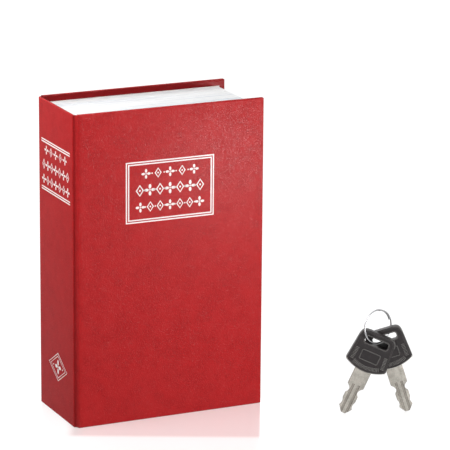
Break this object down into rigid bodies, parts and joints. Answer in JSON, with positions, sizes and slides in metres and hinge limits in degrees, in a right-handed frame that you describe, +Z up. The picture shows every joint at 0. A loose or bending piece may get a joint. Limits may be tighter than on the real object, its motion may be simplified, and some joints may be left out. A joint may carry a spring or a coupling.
{
  "type": "book diversion safe",
  "caption": "Imitation hardback book whose front cover opens onto a hinged steel cash box with a cam lock, with its keys on a split ring beside it.",
  "frame": {"origin": "foot of the spine, in the middle of its thickness and of the book's depth", "axes": "+Z up along the spine, +X from the spine to the fore-edge, +Y from the front cover to the back cover"},
  "size_m": [0.1884, 0.1047, 0.18],
  "materials": {
    "red_covering": "red embossed leatherette paper, satin, with pale foil ornament",
    "grey_board": "raw grey bookbinder's board",
    "endpaper": "smooth white paper",
    "page_edge": "white moulding with fine page ridges",
    "black_enamel": "black stoved enamel on sheet steel",
    "zinc_plate": "bright zinc plate",
    "nickel_plate": "satin nickel plate",
    "brass": "plain stamped brass",
    "black_plastic": "moulded black plastic with a fine grain",
    "spring_steel": "polished spring steel"
  },
  "bodies": {
    "case": {"spine_and_back_covering": "red_covering", "spine_board": "grey_board", "back_cover_board": "grey_board", "back_endpaper": "endpaper", "front_joint_strip": "red_covering", "page_edges": "page_edge", "box_tray": "black_enamel", "hinge_leaf_box": "zinc_plate", "hinge_pin": "zinc_plate", "box_rivet_1": "zinc_plate", "box_rivet_2": "zinc_plate", "box_rivet_3": "zinc_plate", "strike_bracket": "zinc_plate", "strike_rivet_1": "zinc_plate", "strike_rivet_2": "zinc_plate"},
    "front_cover": {"front_cover_covering": "red_covering", "front_cover_board": "grey_board", "front_endpaper": "endpaper"},
    "lid": {"lid_panel": "black_enamel", "hinge_leaf_lid": "zinc_plate", "lid_rivet_1": "zinc_plate", "lid_rivet_2": "zinc_plate", "lid_rivet_3": "zinc_plate", "lock_barrel": "nickel_plate", "lock_nut": "brass"},
    "lock_core": {"lock_plug": "nickel_plate", "lock_cam": "zinc_plate", "cam_washer": "spring_steel", "cam_screw": "zinc_plate", "wafer_spring_1": "spring_steel", "wafer_spring_2": "spring_steel", "wafer_spring_3": "spring_steel", "wafer_spring_4": "spring_steel"},
    "wafer_1": {"lock_wafer_1": "brass"},
    "wafer_2": {"lock_wafer_2": "brass"},
    "wafer_3": {"lock_wafer_3": "brass"},
    "wafer_4": {"lock_wafer_4": "brass"},
    "ring": {"key_ring": "spring_steel"},
    "key_1": {"key_1_head": "black_plastic", "key_1_blade": "nickel_plate"},
    "key_2": {"key_2_head": "black_plastic", "key_2_blade": "nickel_plate"}
  },
  "joints": [
    {"name": "cover_hinge", "type": "hinge", "parent": "case", "child": "front_cover", "pos_m": [0.0023, -0.0275, 0.09], "axis": [0, 0, -1], "range_deg": [0, 170], "deforming": ["front_joint_strip"]},
    {"name": "lid_hinge", "type": "hinge", "parent": "case", "child": "lid", "pos_m": [0.00395, -0.02175, 0.09], "axis": [0, 0, -1], "range_deg": [0, 93.5]},
    {"name": "lock_turn", "type": "hinge", "parent": "lid", "child": "lock_core", "pos_m": [0.08765, -0.015, 0.09], "axis": [0, 1, 0], "range_deg": [0, 90]},
    {"name": "wafer_1_slide", "type": "slide", "parent": "lock_core", "child": "wafer_1", "axis": [-1, 0, 0], "range_m": [0, 0.0008], "deforming": ["wafer_spring_1"]},
    {"name": "wafer_2_slide", "type": "slide", "parent": "lock_core", "child": "wafer_2", "axis": [-1, 0, 0], "range_m": [0, 0.0008], "deforming": ["wafer_spring_2"]},
    {"name": "wafer_3_slide", "type": "slide", "parent": "lock_core", "child": "wafer_3", "axis": [-1, 0, 0], "range_m": [0, 0.0008], "deforming": ["wafer_spring_3"]},
    {"name": "wafer_4_slide", "type": "slide", "parent": "lock_core", "child": "wafer_4", "axis": [-1, 0, 0], "range_m": [0, 0.0008], "deforming": ["wafer_spring_4"]},
    {"name": "keys_lift", "type": "slide", "parent": "case", "child": "ring", "axis": [0, 0, 1], "range_m": [0, 0.12]},
    {"name": "key_1_swing", "type": "hinge", "parent": "ring", "child": "key_1", "pos_m": [0.16403, -0.06994, 0.042], "axis": [0.4226, 0.9063, 0], "range_deg": [0, 15]},
    {"name": "key_2_swing", "type": "hinge", "parent": "ring", "child": "key_2", "pos_m": [0.17125, -0.06838, 0.04252], "axis": [-0.4226, -0.9063, 0], "range_deg": [0, 15]}
  ],
  "couplings": [
    {"joint": "lid_hinge", "follows": "cover_hinge", "ratio": 0.55},
    {"joint": "wafer_2_slide", "follows": "wafer_1_slide", "ratio": 1},
    {"joint": "wafer_3_slide", "follows": "wafer_1_slide", "ratio": 1},
    {"joint": "wafer_4_slide", "follows": "wafer_1_slide", "ratio": 1}
  ]
}
